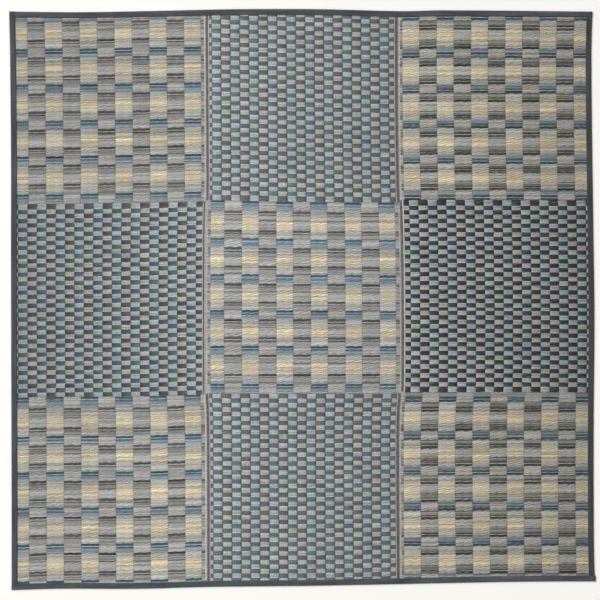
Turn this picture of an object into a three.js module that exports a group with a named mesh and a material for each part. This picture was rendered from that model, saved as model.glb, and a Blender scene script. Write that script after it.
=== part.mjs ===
// A bound rush rug: three woven strips laid side by side and four folded tapes around the edge.
// Units are millimetres. +X is to the right, +Y to the top edge, +Z up from the floor.

import * as THREE from 'three';

// Size of the bound rug when laid out square
const RUG_WIDTH = 2610;
const RUG_LENGTH = 2568;
const STRIP_WIDTH = RUG_WIDTH / 3;

// Rush cloth: free thickness, and how it is pressed and lifted where the tape grips its edge
const CLOTH_THICK = 4.0;
const EDGE_THICK = 3.0;
const PRESSED_FOR = 30;
const FREE_FROM = 72;
const SEAM_GAP = 0.6;

// Folded tape, a U in section that holds the cloth's edge
const TAPE_WIDTH = 26;
const TAPE_THICK = 1.0;
const FIT_GAP = 0.3;
const FOLD_ROOM = 2.4;
const FOLD_STEPS = 3;
const CORNER_OVERHANG = 3;
const EDGE_INSET = TAPE_THICK + FOLD_ROOM;
const EDGE_HEIGHT = 2 * TAPE_THICK + 2 * FIT_GAP + EDGE_THICK;

// Spacing of the stations that carry the slow waves of the edges
const STATION_SPACING = 122;
const LIFT_STATIONS = 4;

// How far each long line of the rug lies to the right of square, read at heights along the rug
const LEFT_EDGE = [
  { at: 1284, shift: 3 },
  { at: 1100, shift: 6 },
  { at: 600, shift: 7.5 },
  { at: 250, shift: 5 },
  { at: -450, shift: 2.5 },
  { at: -900, shift: 1 },
  { at: -1284, shift: -1 },
];
const LEFT_SEAM = [
  { at: 1284, shift: 2.5 },
  { at: 520, shift: 1.5 },
  { at: 240, shift: -4.5 },
  { at: -390, shift: -8 },
  { at: -560, shift: -3 },
  { at: -1284, shift: -5.5 },
];
const RIGHT_SEAM = [
  { at: 1284, shift: -9.5 },
  { at: 850, shift: -11 },
  { at: 520, shift: -8 },
  { at: 240, shift: -1 },
  { at: -380, shift: -2 },
  { at: -570, shift: -13.5 },
  { at: -1284, shift: -15.5 },
];
const RIGHT_EDGE = [
  { at: 1284, shift: -1 },
  { at: 1100, shift: -6.5 },
  { at: 800, shift: -6.5 },
  { at: 300, shift: -2.5 },
  { at: -100, shift: 0 },
  { at: -600, shift: -6.5 },
  { at: -1150, shift: -8 },
  { at: -1284, shift: -4 },
];

// How far each short edge lies above square, read at places across the rug
const TOP_EDGE = [
  { at: -1305, shift: -4 },
  { at: -1000, shift: -6.5 },
  { at: -690, shift: -1 },
  { at: -320, shift: 7.5 },
  { at: 80, shift: 8.5 },
  { at: 450, shift: 0.5 },
  { at: 640, shift: 4.5 },
  { at: 1305, shift: 0 },
];
const BOTTOM_EDGE = [
  { at: -1305, shift: 0 },
  { at: -1110, shift: 3.5 },
  { at: -740, shift: -1.5 },
  { at: -440, shift: 2.5 },
  { at: 60, shift: 1.5 },
  { at: 950, shift: 7 },
  { at: 1305, shift: 4 },
];

// A smooth curve through a table's rows, level with its end rows beyond them.
// Each row's slope is that of the line through its two neighbours.
function readTable(table, at) {
  const rows = [...table].sort((a, b) => a.at - b.at);
  if (at <= rows[0].at) return rows[0].shift;
  if (at >= rows[rows.length - 1].at) return rows[rows.length - 1].shift;
  const slope = (k) => {
    const before = rows[Math.max(k - 1, 0)];
    const after = rows[Math.min(k + 1, rows.length - 1)];
    return (after.shift - before.shift) / (after.at - before.at);
  };
  const k = rows.findIndex((row) => row.at > at) - 1;
  const run = rows[k + 1].at - rows[k].at;
  const t = (at - rows[k].at) / run;
  const rise = THREE.MathUtils.smoothstep(t, 0, 1);
  const bend = slope(k) * run * t * (1 - t) ** 2 - slope(k + 1) * run * t ** 2 * (1 - t);
  return rows[k].shift + (rows[k + 1].shift - rows[k].shift) * rise + bend;
}

// Moves a point of the square rug to where it lies on the uneven one. Between the four long lines,
// and between the two short edges, the shift is shared out in proportion.
const LONG_LINES = [
  { x: -RUG_WIDTH / 2, table: LEFT_EDGE },
  { x: -STRIP_WIDTH / 2, table: LEFT_SEAM },
  { x: STRIP_WIDTH / 2, table: RIGHT_SEAM },
  { x: RUG_WIDTH / 2, table: RIGHT_EDGE },
];

function unevenPlace(x, y) {
  const k = x < LONG_LINES[1].x ? 0 : x < LONG_LINES[2].x ? 1 : 2;
  const [near, far] = [LONG_LINES[k], LONG_LINES[k + 1]];
  const across = (x - near.x) / (far.x - near.x);
  const along = 0.5 + y / RUG_LENGTH;
  return {
    x: x + THREE.MathUtils.lerp(readTable(near.table, y), readTable(far.table, y), across),
    y: y + THREE.MathUtils.lerp(readTable(BOTTOM_EDGE, x), readTable(TOP_EDGE, x), along),
  };
}

// Places along a run from low to high. An end that lies under a tape gets closer places, at which
// the cloth is pressed, lifts and lies free.
function stations(low, high, tapedLow, tapedHigh) {
  const edge = [];
  for (let k = 0; k <= LIFT_STATIONS; k++) {
    edge.push(THREE.MathUtils.lerp(PRESSED_FOR, FREE_FROM, k / LIFT_STATIONS));
  }
  const from = tapedLow ? [low, ...edge.map((d) => low + d)] : [low];
  const to = tapedHigh ? [...edge.map((d) => high - d).reverse(), high] : [high];
  const [start, end] = [from[from.length - 1], to[0]];
  const count = Math.round((end - start) / STATION_SPACING);
  const middle = [];
  for (let k = 1; k < count; k++) middle.push(THREE.MathUtils.lerp(start, end, k / count));
  return [...from, ...middle, ...to];
}

// A closed surface from rings that are joined one to the next. A ring goes out along one side of a
// thin section and comes back along the other, so each end is closed by pairs of opposite points.
function closedSweep(rings) {
  const size = rings[0].length;
  const positions = rings.flat().flatMap((p) => [p.x, p.y, p.z]);
  const faces = [];
  for (let r = 0; r + 1 < rings.length; r++) {
    for (let k = 0; k < size; k++) {
      const a = r * size + k;
      const b = r * size + ((k + 1) % size);
      faces.push(a, b, b + size, a, b + size, a + size);
    }
  }
  const last = (rings.length - 1) * size;
  for (let k = 0; k + 1 < size / 2; k++) {
    const [a, b, c, d] = [k, k + 1, size - 2 - k, size - 1 - k];
    faces.push(a, c, b, a, d, c);
    faces.push(last + a, last + b, last + c, last + a, last + c, last + d);
  }
  const geometry = new THREE.BufferGeometry();
  geometry.setAttribute('position', new THREE.Float32BufferAttribute(positions, 3));
  geometry.setIndex(faces);
  geometry.computeVertexNormals();
  return geometry;
}

function namedMesh(name, geometry, material) {
  const mesh = new THREE.Mesh(geometry, material);
  mesh.name = name;
  return mesh;
}

// Strip of rush cloth

// Height of the cloth's two faces at a distance in from the bound edge: pressed and held up by the
// lower side of the tape, then easing down until it lies free on the floor.
function clothHeights(fromEdge) {
  const free = THREE.MathUtils.smoothstep(fromEdge, PRESSED_FOR, FREE_FROM);
  const underside = TAPE_THICK + FIT_GAP;
  return {
    low: THREE.MathUtils.lerp(underside, 0, free),
    high: THREE.MathUtils.lerp(underside + EDGE_THICK, CLOTH_THICK, free),
  };
}

function rushStrip(name, left, right, material) {
  const edges = { x: RUG_WIDTH / 2 - EDGE_INSET, y: RUG_LENGTH / 2 - EDGE_INSET };
  const xs = stations(left, right, left === -edges.x, right === edges.x);
  const ys = stations(-edges.y, edges.y, true, true);
  const rings = ys.map((y) => {
    const row = xs.map((x) => {
      const inside = Math.min(edges.x - Math.abs(x), edges.y - Math.abs(y));
      const fromEdge = inside + EDGE_INSET;
      return { ...unevenPlace(x, y), ...clothHeights(fromEdge) };
    });
    const upper = row.map((p) => ({ x: p.x, y: p.y, z: p.high }));
    const lower = row.map((p) => ({ x: p.x, y: p.y, z: p.low }));
    return [...upper, ...lower.reverse()];
  });
  return namedMesh(name, closedSweep(rings), material);
}

// Folded tape

// The tape's section, as a distance in from its fold and a height. The outer outline goes up round
// the fold, and the inner one comes back, a tape's thickness inside it.
function foldedSection() {
  const arc = (radius) => {
    const points = [];
    for (let k = 0; k <= 2 * FOLD_STEPS; k++) {
      const angle = Math.PI * (-0.5 + k / (2 * FOLD_STEPS));
      points.push({
        inward: EDGE_HEIGHT / 2 - radius * Math.cos(angle),
        z: EDGE_HEIGHT / 2 + radius * Math.sin(angle),
      });
    }
    return points;
  };
  const outer = arc(EDGE_HEIGHT / 2);
  const inner = arc(EDGE_HEIGHT / 2 - TAPE_THICK);
  const ends = (points) => [
    { inward: TAPE_WIDTH, z: points[0].z },
    ...points,
    { inward: TAPE_WIDTH, z: points[points.length - 1].z },
  ];
  return [...ends(outer), ...ends(inner).reverse()];
}

// A side is given by the way it runs and the way out of the rug. Its section is carried along the
// run, and each point is then moved to the uneven rug. On two of the sides the section is taken the
// other way round, so that every face points out.
function foldedTape(name, side, material) {
  const turned = side.alongY ? side.outward > 0 : side.outward < 0;
  const section = turned ? foldedSection().reverse() : foldedSection();
  const half = side.alongY ? RUG_WIDTH / 2 : RUG_LENGTH / 2;
  const rings = stations(side.from, side.to, false, false).map((along) =>
    section.map(({ inward, z }) => {
      const off = side.outward * (half - inward);
      const [x, y] = side.alongY ? [off, along] : [along, off];
      return { ...unevenPlace(x, y), z };
    })
  );
  return namedMesh(name, closedSweep(rings), material);
}

// Materials

const rushCloth = (colour) =>
  new THREE.MeshStandardMaterial({ color: colour, roughness: 0.7, metalness: 0 });
const rushPale = rushCloth(0x9fa3a0);
const rushCool = rushCloth(0x8c959a);
const rushDeep = rushCloth(0x8f9088);
const tapeCloth = new THREE.MeshStandardMaterial({
  color: 0x454c50,
  roughness: 0.85,
  metalness: 0,
});

// The rug

const rug = new THREE.Group();

const clothEdge = RUG_WIDTH / 2 - EDGE_INSET;
const seam = STRIP_WIDTH / 2;
const halfGap = SEAM_GAP / 2;
rug.add(rushStrip('strip_left', -clothEdge, -seam - halfGap, rushPale));
rug.add(rushStrip('strip_middle', -seam + halfGap, seam - halfGap, rushCool));
rug.add(rushStrip('strip_right', seam + halfGap, clothEdge, rushDeep));

// At the top left the left tape laps over the top one, and at the other corners the top or bottom
// tape laps over the side's. The tape underneath stops short of the one that crosses it.
const xEnd = RUG_WIDTH / 2;
const yEnd = RUG_LENGTH / 2;
const butt = TAPE_WIDTH + FIT_GAP;
const tapes = [
  { name: 'binding_left', alongY: true, outward: -1, from: -yEnd + butt, to: yEnd },
  { name: 'binding_right', alongY: true, outward: 1, from: -yEnd + butt, to: yEnd - butt },
  { name: 'binding_top', alongY: false, outward: 1, from: -xEnd + butt, to: xEnd },
  {
    name: 'binding_bottom',
    alongY: false,
    outward: -1,
    from: -xEnd,
    to: xEnd + CORNER_OVERHANG,
  },
];
for (const tape of tapes) rug.add(foldedTape(tape.name, tape, tapeCloth));

// The origin is the middle of the rug's own box, on the floor
const box = new THREE.Box3().setFromObject(rug);
const middle = box.getCenter(new THREE.Vector3());
rug.position.set(-middle.x, -middle.y, -box.min.z);
rug.updateMatrixWorld(true);

export default rug;
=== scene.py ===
# %% [markdown]
# # A woven rush rug with a bound edge
#
# The real rug is sewn from three strips of rush cloth and bound with a folded tape. The cloth is a
# double weave: two sets of rushes change places between the face and the back, which draws blocks
# of a large check and of a small check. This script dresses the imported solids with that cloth.
# Each stretch of one weave is one surface whose points rise and fall with every row of rushes,
# because a rug seen close up is nothing but those rows. Colour comes from a chart that is read by
# the row and the column that a point lies in, as a weaver would read it.

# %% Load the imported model
import math

import bpy
import numpy as np
from mathutils import Matrix


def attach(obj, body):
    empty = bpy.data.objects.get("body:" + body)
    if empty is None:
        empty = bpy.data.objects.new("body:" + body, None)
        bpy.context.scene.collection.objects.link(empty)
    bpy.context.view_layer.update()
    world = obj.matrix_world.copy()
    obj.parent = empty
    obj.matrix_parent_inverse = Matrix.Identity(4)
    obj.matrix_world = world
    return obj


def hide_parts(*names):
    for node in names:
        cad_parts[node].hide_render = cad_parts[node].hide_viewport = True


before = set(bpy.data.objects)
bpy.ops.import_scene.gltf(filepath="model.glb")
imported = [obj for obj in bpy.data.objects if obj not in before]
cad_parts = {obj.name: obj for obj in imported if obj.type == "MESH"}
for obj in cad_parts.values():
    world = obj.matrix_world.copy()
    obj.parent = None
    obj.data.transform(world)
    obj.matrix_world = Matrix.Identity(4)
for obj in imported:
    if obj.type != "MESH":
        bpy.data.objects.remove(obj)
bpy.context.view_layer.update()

MM = 0.001
print("nodes:", sorted(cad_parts))

# %% [markdown]
# ## Sizes
#
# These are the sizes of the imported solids, which this script can't change: the rug before it went
# out of square, and its cloth. Under the tape the cloth is pressed thinner, and the lower side of
# the tape holds it off the floor. Further in it eases down to its full thickness.

# %% Sizes
RUG_WIDTH = 2.610
RUG_LENGTH = 2.568
X_END, Y_END = RUG_WIDTH / 2, RUG_LENGTH / 2
STRIP_WIDTH = RUG_WIDTH / 3
SEAM_GAP = 0.6 * MM
CLOTH_THICK = 4.0 * MM
EDGE_THICK = 3.0 * MM
EDGE_INSET = 3.4 * MM
UNDER_EDGE = 1.3 * MM
PRESSED_FOR = 30 * MM
FREE_FROM = 72 * MM
print("width of a strip (m):", round(STRIP_WIDTH, 4))

# %% [markdown]
# ## The uneven outline
#
# A rug that has been cut, sewn and rolled is never quite square: its seams and edges wander by a
# few millimetres. The solids hold that as short tables of shifts, so the same tables are read here
# and the woven surface lies exactly in its solid. The tables are in millimetres. Those of the long
# lines are read along the rug, and those of the short edges across it.

# %% Shifts of the long lines and of the short edges
LEFT_EDGE = [(1284, 3), (1100, 6), (600, 7.5), (250, 5), (-450, 2.5), (-900, 1), (-1284, -1)]
LEFT_SEAM = [(1284, 2.5), (520, 1.5), (240, -4.5), (-390, -8), (-560, -3), (-1284, -5.5)]
RIGHT_SEAM = [(1284, -9.5), (850, -11), (520, -8), (240, -1), (-380, -2), (-570, -13.5),
              (-1284, -15.5)]
RIGHT_EDGE = [(1284, -1), (1100, -6.5), (800, -6.5), (300, -2.5), (-100, 0), (-600, -6.5),
              (-1150, -8), (-1284, -4)]
TOP_EDGE = [(-1305, -4), (-1000, -6.5), (-690, -1), (-320, 7.5), (80, 8.5), (450, 0.5), (640, 4.5),
            (1305, 0)]
BOTTOM_EDGE = [(-1305, 0), (-1110, 3.5), (-740, -1.5), (-440, 2.5), (60, 1.5), (950, 7), (1305, 4)]
LONG_LINES = [LEFT_EDGE, LEFT_SEAM, RIGHT_SEAM, RIGHT_EDGE]
print("widest shift (mm):", max(abs(shift) for line in LONG_LINES for _, shift in line))


# %% A smooth curve through a table, and the shift at any point
def smooth_step(t):
    """Three t squared less two t cubed, with t held between 0 and 1."""
    t = np.clip(t, 0, 1)
    return t * t * (3 - 2 * t)


def read_table(table, at):
    """A smooth curve through the table's rows: between two rows it rises by a smooth step, plus a
    bend that gives each row the slope of the line through its neighbours."""
    ats, shifts = np.array(sorted(table), float).T * MM
    last = len(ats) - 1
    before = np.maximum(np.arange(last + 1) - 1, 0)
    after = np.minimum(np.arange(last + 1) + 1, last)
    slopes = (shifts[after] - shifts[before]) / (ats[after] - ats[before])
    k = np.clip(np.searchsorted(ats, at, side="right") - 1, 0, last - 1)
    run = ats[k + 1] - ats[k]
    t = np.clip((at - ats[k]) / run, 0, 1)
    bend = slopes[k] * run * t * (1 - t) ** 2 - slopes[k + 1] * run * t**2 * (1 - t)
    return shifts[k] + (shifts[k + 1] - shifts[k]) * smooth_step(t) + bend


def uneven_shift(x, y):
    """The place on the uneven rug of a point of the square one. The shift to the side is shared
    out between the two nearest long lines, and the shift along between the two short edges."""
    across = (x + X_END) / STRIP_WIDTH
    strip = np.clip(np.floor(across).astype(int), 0, len(LONG_LINES) - 2)
    sides = np.stack([read_table(line, y) for line in LONG_LINES])
    near = np.take_along_axis(sides, strip[None], 0)[0]
    far = np.take_along_axis(sides, strip[None] + 1, 0)[0]
    along = 0.5 + y / RUG_LENGTH
    low, high = read_table(BOTTOM_EDGE, x), read_table(TOP_EDGE, x)
    return x + near + (far - near) * (across - strip), y + low + (high - low) * along


moved = uneven_shift(np.array([X_END]), np.array([Y_END]))
print("the top right corner lies at (m):", np.round(moved, 4).ravel())


# %% The middle of the uneven outline, which is the frame's origin
CORNER_OVERHANG = 3 * MM
share_along = np.linspace(-0.5, 0.5, 400)
rim_x, rim_y = share_along * RUG_WIDTH, share_along * RUG_LENGTH
outline = [uneven_shift(np.full_like(rim_y, x), rim_y) for x in (-X_END, X_END)]
outline += [uneven_shift(rim_x, np.full_like(rim_x, y)) for y in (-Y_END, Y_END)]
outline += [uneven_shift(np.array([X_END + CORNER_OVERHANG]), np.array([-Y_END]))]
outline = np.concatenate([np.stack(o) for o in outline], axis=1)
MIDDLE = (outline.max(axis=1) + outline.min(axis=1)) / 2
print("middle of the outline (mm):", (MIDDLE / MM).round(2))
print("size of the outline (mm):", (np.ptp(outline, axis=1) / MM).round(1))


def place(x, y):
    """A point of the square rug, moved to the uneven rug and into the frame."""
    px, py = uneven_shift(x, y)
    return px - MIDDLE[0], py - MIDDLE[1]


# %% [markdown]
# ## Camera
#
# The rug was photographed from straight above its middle with a long lens, turned by a fraction of
# a degree. The camera stands at the distance and angle that bring the four corners of the rug to
# their places in the picture. Blender turns a camera by a matrix as it does any object, so the
# three small turns are multiplied, and the step back along the line of sight comes last.

# %% Camera
CAMERA_DISTANCE = 5.6
CAMERA_AIM = (-19.5 * MM, -6.1 * MM)
CAMERA_YAW = -1.861
CAMERA_PITCH = -0.040
CAMERA_ROLL = -0.340
PICTURE_SIZE = 600
FOCAL_PIXELS = 1253.5

camera_data = bpy.data.cameras.new("camera")
camera_data.sensor_width = 36
camera_data.lens = FOCAL_PIXELS / PICTURE_SIZE * camera_data.sensor_width
camera_data.clip_end = 50
camera_data.dof.use_dof = False
camera = bpy.data.objects.new("camera", camera_data)
bpy.context.scene.collection.objects.link(camera)
turn = (
    Matrix.Rotation(math.radians(CAMERA_YAW), 4, "Y")
    @ Matrix.Rotation(math.radians(CAMERA_PITCH), 4, "X")
    @ Matrix.Rotation(math.radians(CAMERA_ROLL), 4, "Z")
)
aim = Matrix.Translation((CAMERA_AIM[0] - MIDDLE[0], CAMERA_AIM[1] - MIDDLE[1], 0))
camera.matrix_world = aim @ turn @ Matrix.Translation((0, 0, CAMERA_DISTANCE))
bpy.context.scene.camera = camera
bpy.context.scene.view_settings.view_transform = "Standard"
print("lens (mm):", round(camera_data.lens, 2))

# %% [markdown]
# ## Floor and light
#
# A pale floor and soft light stand for the studio. Two suns light the whole rug alike, and their
# wide angle softens the shadows between the rushes. A large near lamp on the left makes that side
# a little brighter, as in the photograph, and a dim sky fills the rest.

# %% Floor
FLOOR_SIZE = 40.0
FLOOR_DROP = 0.2 * MM
floor_mesh = bpy.data.meshes.new("floor")
corners = [(-0.5, -0.5), (0.5, -0.5), (0.5, 0.5), (-0.5, 0.5)]
floor_points = [(x * FLOOR_SIZE, y * FLOOR_SIZE, -FLOOR_DROP) for x, y in corners]
floor_mesh.from_pydata(floor_points, [], [(0, 1, 2, 3)])
floor = bpy.data.objects.new("floor", floor_mesh)
bpy.context.scene.collection.objects.link(floor)
print("floor (m):", FLOOR_SIZE)

# %% Sky and lamps
SKY_STRENGTH = 0.45
SKY_COLOUR = (1.0, 0.995, 0.985, 1)
LAMPS = {
    "key": ("SUN", (-0.62, 0.66, 0.62), {"angle": 0.55, "energy": 2.26}),
    "fill": ("SUN", (0.7, -0.5, 0.8), {"angle": 0.9, "energy": 0.3}),
    "side": ("AREA", (-6.0, 1.5, 5.0), {"size": 2.0, "energy": 133}),
}
world = bpy.data.worlds.new("studio")
bpy.context.scene.world = world
world.use_nodes = True
world.node_tree.nodes["Background"].inputs["Color"].default_value = SKY_COLOUR
world.node_tree.nodes["Background"].inputs["Strength"].default_value = SKY_STRENGTH
for name, (kind, stands, settings) in LAMPS.items():
    data = bpy.data.lights.new(name, kind)
    for key, value in settings.items():
        setattr(data, key, value)
    lamp = bpy.data.objects.new(name, data)
    bpy.context.scene.collection.objects.link(lamp)
    lamp.location = stands
    lamp.rotation_euler = lamp.location.to_track_quat("Z", "Y").to_euler()
    print("lamp", name, kind, settings)

# %% [markdown]
# ## A small kit for materials
#
# Shader maths is easier to read as an expression than as a chain of boxes. `Wire` stands for a
# socket that carries a number, and its operators add Math nodes. `Finish` makes a material around
# one Principled shader and adds any other node by its type.


# %% Wires
class Wire:
    """A socket that carries a number or a colour."""

    def __init__(self, finish, socket):
        self.finish = finish
        self.socket = socket

    def math(self, operation, *others):
        return self.finish.math(operation, self, *others)

    def __add__(self, other):
        return self.math("ADD", other)

    def __sub__(self, other):
        return self.math("SUBTRACT", other)

    def __rsub__(self, other):
        return self.finish.math("SUBTRACT", other, self)

    def __mul__(self, other):
        return self.math("MULTIPLY", other)

    def __truediv__(self, other):
        return self.math("DIVIDE", other)

    def __mod__(self, other):
        return self.math("FLOORED_MODULO", other)

    def __pow__(self, other):
        return self.math("POWER", other)

    def __lt__(self, other):
        return self.math("LESS_THAN", other)

    def __gt__(self, other):
        return self.math("GREATER_THAN", other)

    __radd__ = __add__
    __rmul__ = __mul__


print("a wire takes + - * / % ** < and >")


# %% Finishes
class Finish:
    """A material with one Principled shader, and the means to add nodes to it."""

    def __init__(self, name, fixed):
        self.material = bpy.data.materials.new(name)
        self.material.use_nodes = True
        self.tree = self.material.node_tree
        self.dress(fixed)

    def dress(self, looks):
        """Feeds the shader's sockets by name, with a number, a colour or a wire."""
        shader = self.tree.nodes["Principled BSDF"]
        for socket, value in looks.items():
            self.feed(shader.inputs[socket], value)

    def feed(self, socket, value):
        if isinstance(value, Wire):
            self.tree.links.new(value.socket, socket)
        else:
            socket.default_value = value

    def add(self, kind, settings=None, values=None, out=0):
        """One node: its settings first, then its sockets' values or links, by name or number."""
        node = self.tree.nodes.new(kind)
        for key, value in (settings or {}).items():
            if key == "stops":
                set_stops(node.color_ramp, *value)
            else:
                setattr(node, key, value)
        for key, value in (values or {}).items():
            self.feed(node.inputs[key], value)
        return Wire(self, node.outputs[out])

    def math(self, operation, *terms):
        return self.add("ShaderNodeMath", {"operation": operation}, dict(enumerate(terms)))

    def uv(self, layer):
        """The two numbers of one of the piece's own maps."""
        pair = self.add("ShaderNodeUVMap", {"uv_map": layer})
        return [self.add("ShaderNodeSeparateXYZ", {}, {0: pair}, out) for out in (0, 1)]

    def point(self, x, y, z=0.0):
        return self.add("ShaderNodeCombineXYZ", {}, {0: x, 1: y, 2: z})

    def noise(self, x, y, z=0.0, detail=1.0, rough=0.5):
        """Soft noise from 0 to 1 at a point."""
        values = {"Vector": self.point(x, y, z), "Scale": 1.0, "Detail": detail, "Roughness": rough}
        return self.add("ShaderNodeTexNoise", {"normalize": True}, values)

    def chance(self, x, y, z=0.0, out=0):
        """One random number from 0 to 1 for each point, the same all over a whole number."""
        return self.add("ShaderNodeTexWhiteNoise", {}, {"Vector": self.point(x, y, z)}, out)

    def tint(self, x, y, z=0.0):
        """One random colour for each point, the same all over a whole number."""
        return self.chance(x, y, z, 1)

    def mix(self, share, first, second, blend="MIX"):
        """Two colours blended by a share from 0 to 1."""
        ends = [c if isinstance(c, Wire) else (*c, 1.0) for c in (first, second)]
        settings = {"data_type": "RGBA", "blend_type": blend}
        return self.add("ShaderNodeMix", settings, {"Factor": share, 6: ends[0], 7: ends[1]}, 2)

    def scale_colour(self, colour, by):
        """A colour made lighter or darker by a number."""
        return self.add("ShaderNodeVectorMath", {"operation": "SCALE"}, {0: colour, "Scale": by})

    def ramp(self, share, stops, blending="LINEAR"):
        """A colour read from stops of (place, colour), blended or in steps."""
        return self.add("ShaderNodeValToRGB", {"stops": (stops, blending)}, {0: share})

    def smooth(self, value, low, high):
        """Rises smoothly from 0 to 1 as the value goes from low to high."""
        values = {"Value": value, "From Min": low, "From Max": high}
        return self.add("ShaderNodeMapRange", {"interpolation_type": "SMOOTHSTEP"}, values)

    def bump(self, height, distance, strength):
        values = {"Height": height, "Distance": distance, "Strength": strength}
        return self.add("ShaderNodeBump", {}, values)


def set_stops(ramp, stops, blending):
    """Puts stops of (place, colour) on a new ramp, which comes with two of its own."""
    ramp.interpolation = blending
    ramp.elements.remove(ramp.elements[1])
    ramp.elements[0].position = stops[0][0]
    ramp.elements[0].color = (*stops[0][1], 1)
    for place_on_ramp, colour in stops[1:]:
        ramp.elements.new(place_on_ramp).color = (*colour, 1)


def dye(red, green, blue):
    """A colour as seen on a screen, from 0 to 255, turned into the linear one that shaders use."""
    c = np.array([red, green, blue]) / 255
    linear = np.where(c <= 0.04045, c / 12.92, ((c + 0.055) / 1.055) ** 2.4)
    return tuple(float(v) for v in linear)


floor_paper = Finish("floor_paper", {"Roughness": 0.9, "Base Color": (*dye(246, 245, 241), 1)})
floor.data.materials.append(floor_paper.material)
print("floor finish:", floor_paper.material.name)

# %% [markdown]
# ## How the cloth is laid out
#
# A strip is a grid. Across it run the columns, which the warp strings bind off; along it lie the
# rows of rushes. A large check has wide columns, straw and brown in turn, each bound once more at
# its middle. A small check has narrow ones, teal and brown in turn. Where two strips are sewn
# together each ends in a narrow column and one or two pale and dark lines. The widths below run
# from the left of each strip, in millimetres.

# %% Columns of each block
STRAW, BROWN, PALE_EDGE, DARK_EDGE, SHORT_BROWN = 0, 1, 2, 3, 4
TEAL = STRAW


def large_check(first, straw, brown, last, left, right):
    """Eleven wide columns between what lies on their left and on their right."""
    pairs = 4 * [(BROWN, brown), (STRAW, straw)]
    return left + [(STRAW, first)] + pairs + [(BROWN, brown), (STRAW, last)] + right


def small_check(width, left, right):
    """Nineteen narrow columns, teal ones first and last."""
    return left + 9 * [(TEAL, width), (BROWN, width)] + [(TEAL, width)] + right


SMALL_LEFT = [(DARK_EDGE, 10.5), (PALE_EDGE, 4.5), (BROWN, 11)]
SMALL_RIGHT = [(BROWN, 24), (PALE_EDGE, 4.5), (DARK_EDGE, 12.5)]
COLUMNS = {
    (0, 0): large_check(78, 77.8, 76.7, 75.3, [], [(SHORT_BROWN, 13.5), (PALE_EDGE, 8.5)]),
    (0, 2): large_check(78, 77.4, 76.9, 73.5, [], [(SHORT_BROWN, 15.5), (PALE_EDGE, 9)]),
    (1, 1): large_check(
        61, 74.8, 78.2, 73.2,
        [(PALE_EDGE, 10), (SHORT_BROWN, 12)], [(SHORT_BROWN, 16), (PALE_EDGE, 8)],
    ),
    (2, 0): large_check(76.1, 76.5, 77.3, 81.4, [(PALE_EDGE, 10), (SHORT_BROWN, 10.5)], []),
    (2, 2): large_check(76.5, 76.5, 77.3, 81.5, [(PALE_EDGE, 9), (SHORT_BROWN, 10.5)], []),
    (0, 1): small_check(
        41.9, [(BROWN, 31)], [(BROWN, 28.5), (PALE_EDGE, 3), (DARK_EDGE, 7.5), (PALE_EDGE, 3.5)]
    ),
    (1, 0): small_check(42.3, SMALL_LEFT, SMALL_RIGHT),
    (1, 2): small_check(42.2, [(DARK_EDGE, 11), (PALE_EDGE, 4), (BROWN, 12.5)], SMALL_RIGHT),
    (2, 1): small_check(41.85, [(DARK_EDGE, 11), (PALE_EDGE, 6), (BROWN, 25)], [(BROWN, 33)]),
}
for block, plan in COLUMNS.items():
    print("strip", block[0], "row", block[1], "columns", len(plan), "sum",
          round(sum(w for _, w in plan), 1))

# %% [markdown]
# The rows are counted in bands. A band of the large check is eight rushes deep and that of the
# small check four, and where one weave changes into the other the weaver put in a rush more here
# and there. The right strip was cut from the same cloth but is turned end for end.

# %% Bands of each block, from the strip's own start
BANDS = {
    (0, 0): [9] + 17 * [8] + 3 * [9],
    (1, 1): [9, 9] + 16 * [8] + 3 * [9],
    (0, 2): [10, 9] + 19 * [8],
    (2, 0): [9] + 17 * [8] + 3 * [9],
    (2, 2): [8, 8, 9] + 15 * [8] + 3 * [9],
    (1, 0): [3] + 41 * [4] + [5],
    (1, 2): 43 * [4],
    (0, 1): [5] + 42 * [4],
    (2, 1): [5] + 17 * [4] + [3] + 23 * [4] + [5],
}
CHANGE_LINES = {0: (432.7, -427.0), 1: (429.5, -427.5), 2: (431.8, -428.7)}
TURNED_STRIP = 2
LARGE_BAND, LARGE_REPEAT_BANDS = 8, 4
SMALL_BAND, SMALL_REPEAT_BANDS = 4, 2


def is_large(block):
    return (block[0] + block[1]) % 2 == 0


def chart_rows(block):
    """For each rush row from the top of the block, its row in the weave's repeat. A band longer
    than usual repeats its last row."""
    depth = LARGE_BAND if is_large(block) else SMALL_BAND
    repeat = LARGE_REPEAT_BANDS if is_large(block) else SMALL_REPEAT_BANDS
    rows = np.concatenate([
        depth * (band % repeat) + np.minimum(np.arange(count), depth - 1)
        for band, count in enumerate(BANDS[block])
    ])
    return rows[::-1] if block[0] == TURNED_STRIP else rows


for block in sorted(BANDS):
    print("strip", block[0], "row", block[1], "rushes", len(chart_rows(block)))

# %% [markdown]
# A cloth this wide is never woven or sewn quite straight. The table gives how far the rows of each
# strip sag below a straight line at its left, its middle and its right, at places along the rug,
# all in millimetres.

# %% Sagging rows
ROW_SAG = {
    0: [(1284, 4, -5, -1.5), (560, 7.5, 2, 3), (430, 6, 1, 2), (0, 5, 1.5, 1.5),
        (-430, 4, 1.5, 1), (-560, 4.8, 1.8, 1), (-860, 0.5, -0.5, -1.5), (-1284, 4.5, 1.5, 1)],
    1: [(1284, -12.5, 2, 2.8), (860, -9.5, 3.5, 3.8), (430, -7.5, 4, 3.6), (0, -4, 2.5, 3.7),
        (-430, -3, 2.5, 2.8), (-1284, 0, 4.5, 3.5)],
    2: [(1284, -2.5, -1, -3.5), (430, -4.5, 0, -0.5), (0, -7, 0, 1), (-430, -5, 2.2, 3.6),
        (-560, -6, 0.8, 2.2), (-860, -4.5, 1.5, 4), (-1284, -6.5, 1, 2.5)],
}


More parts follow.
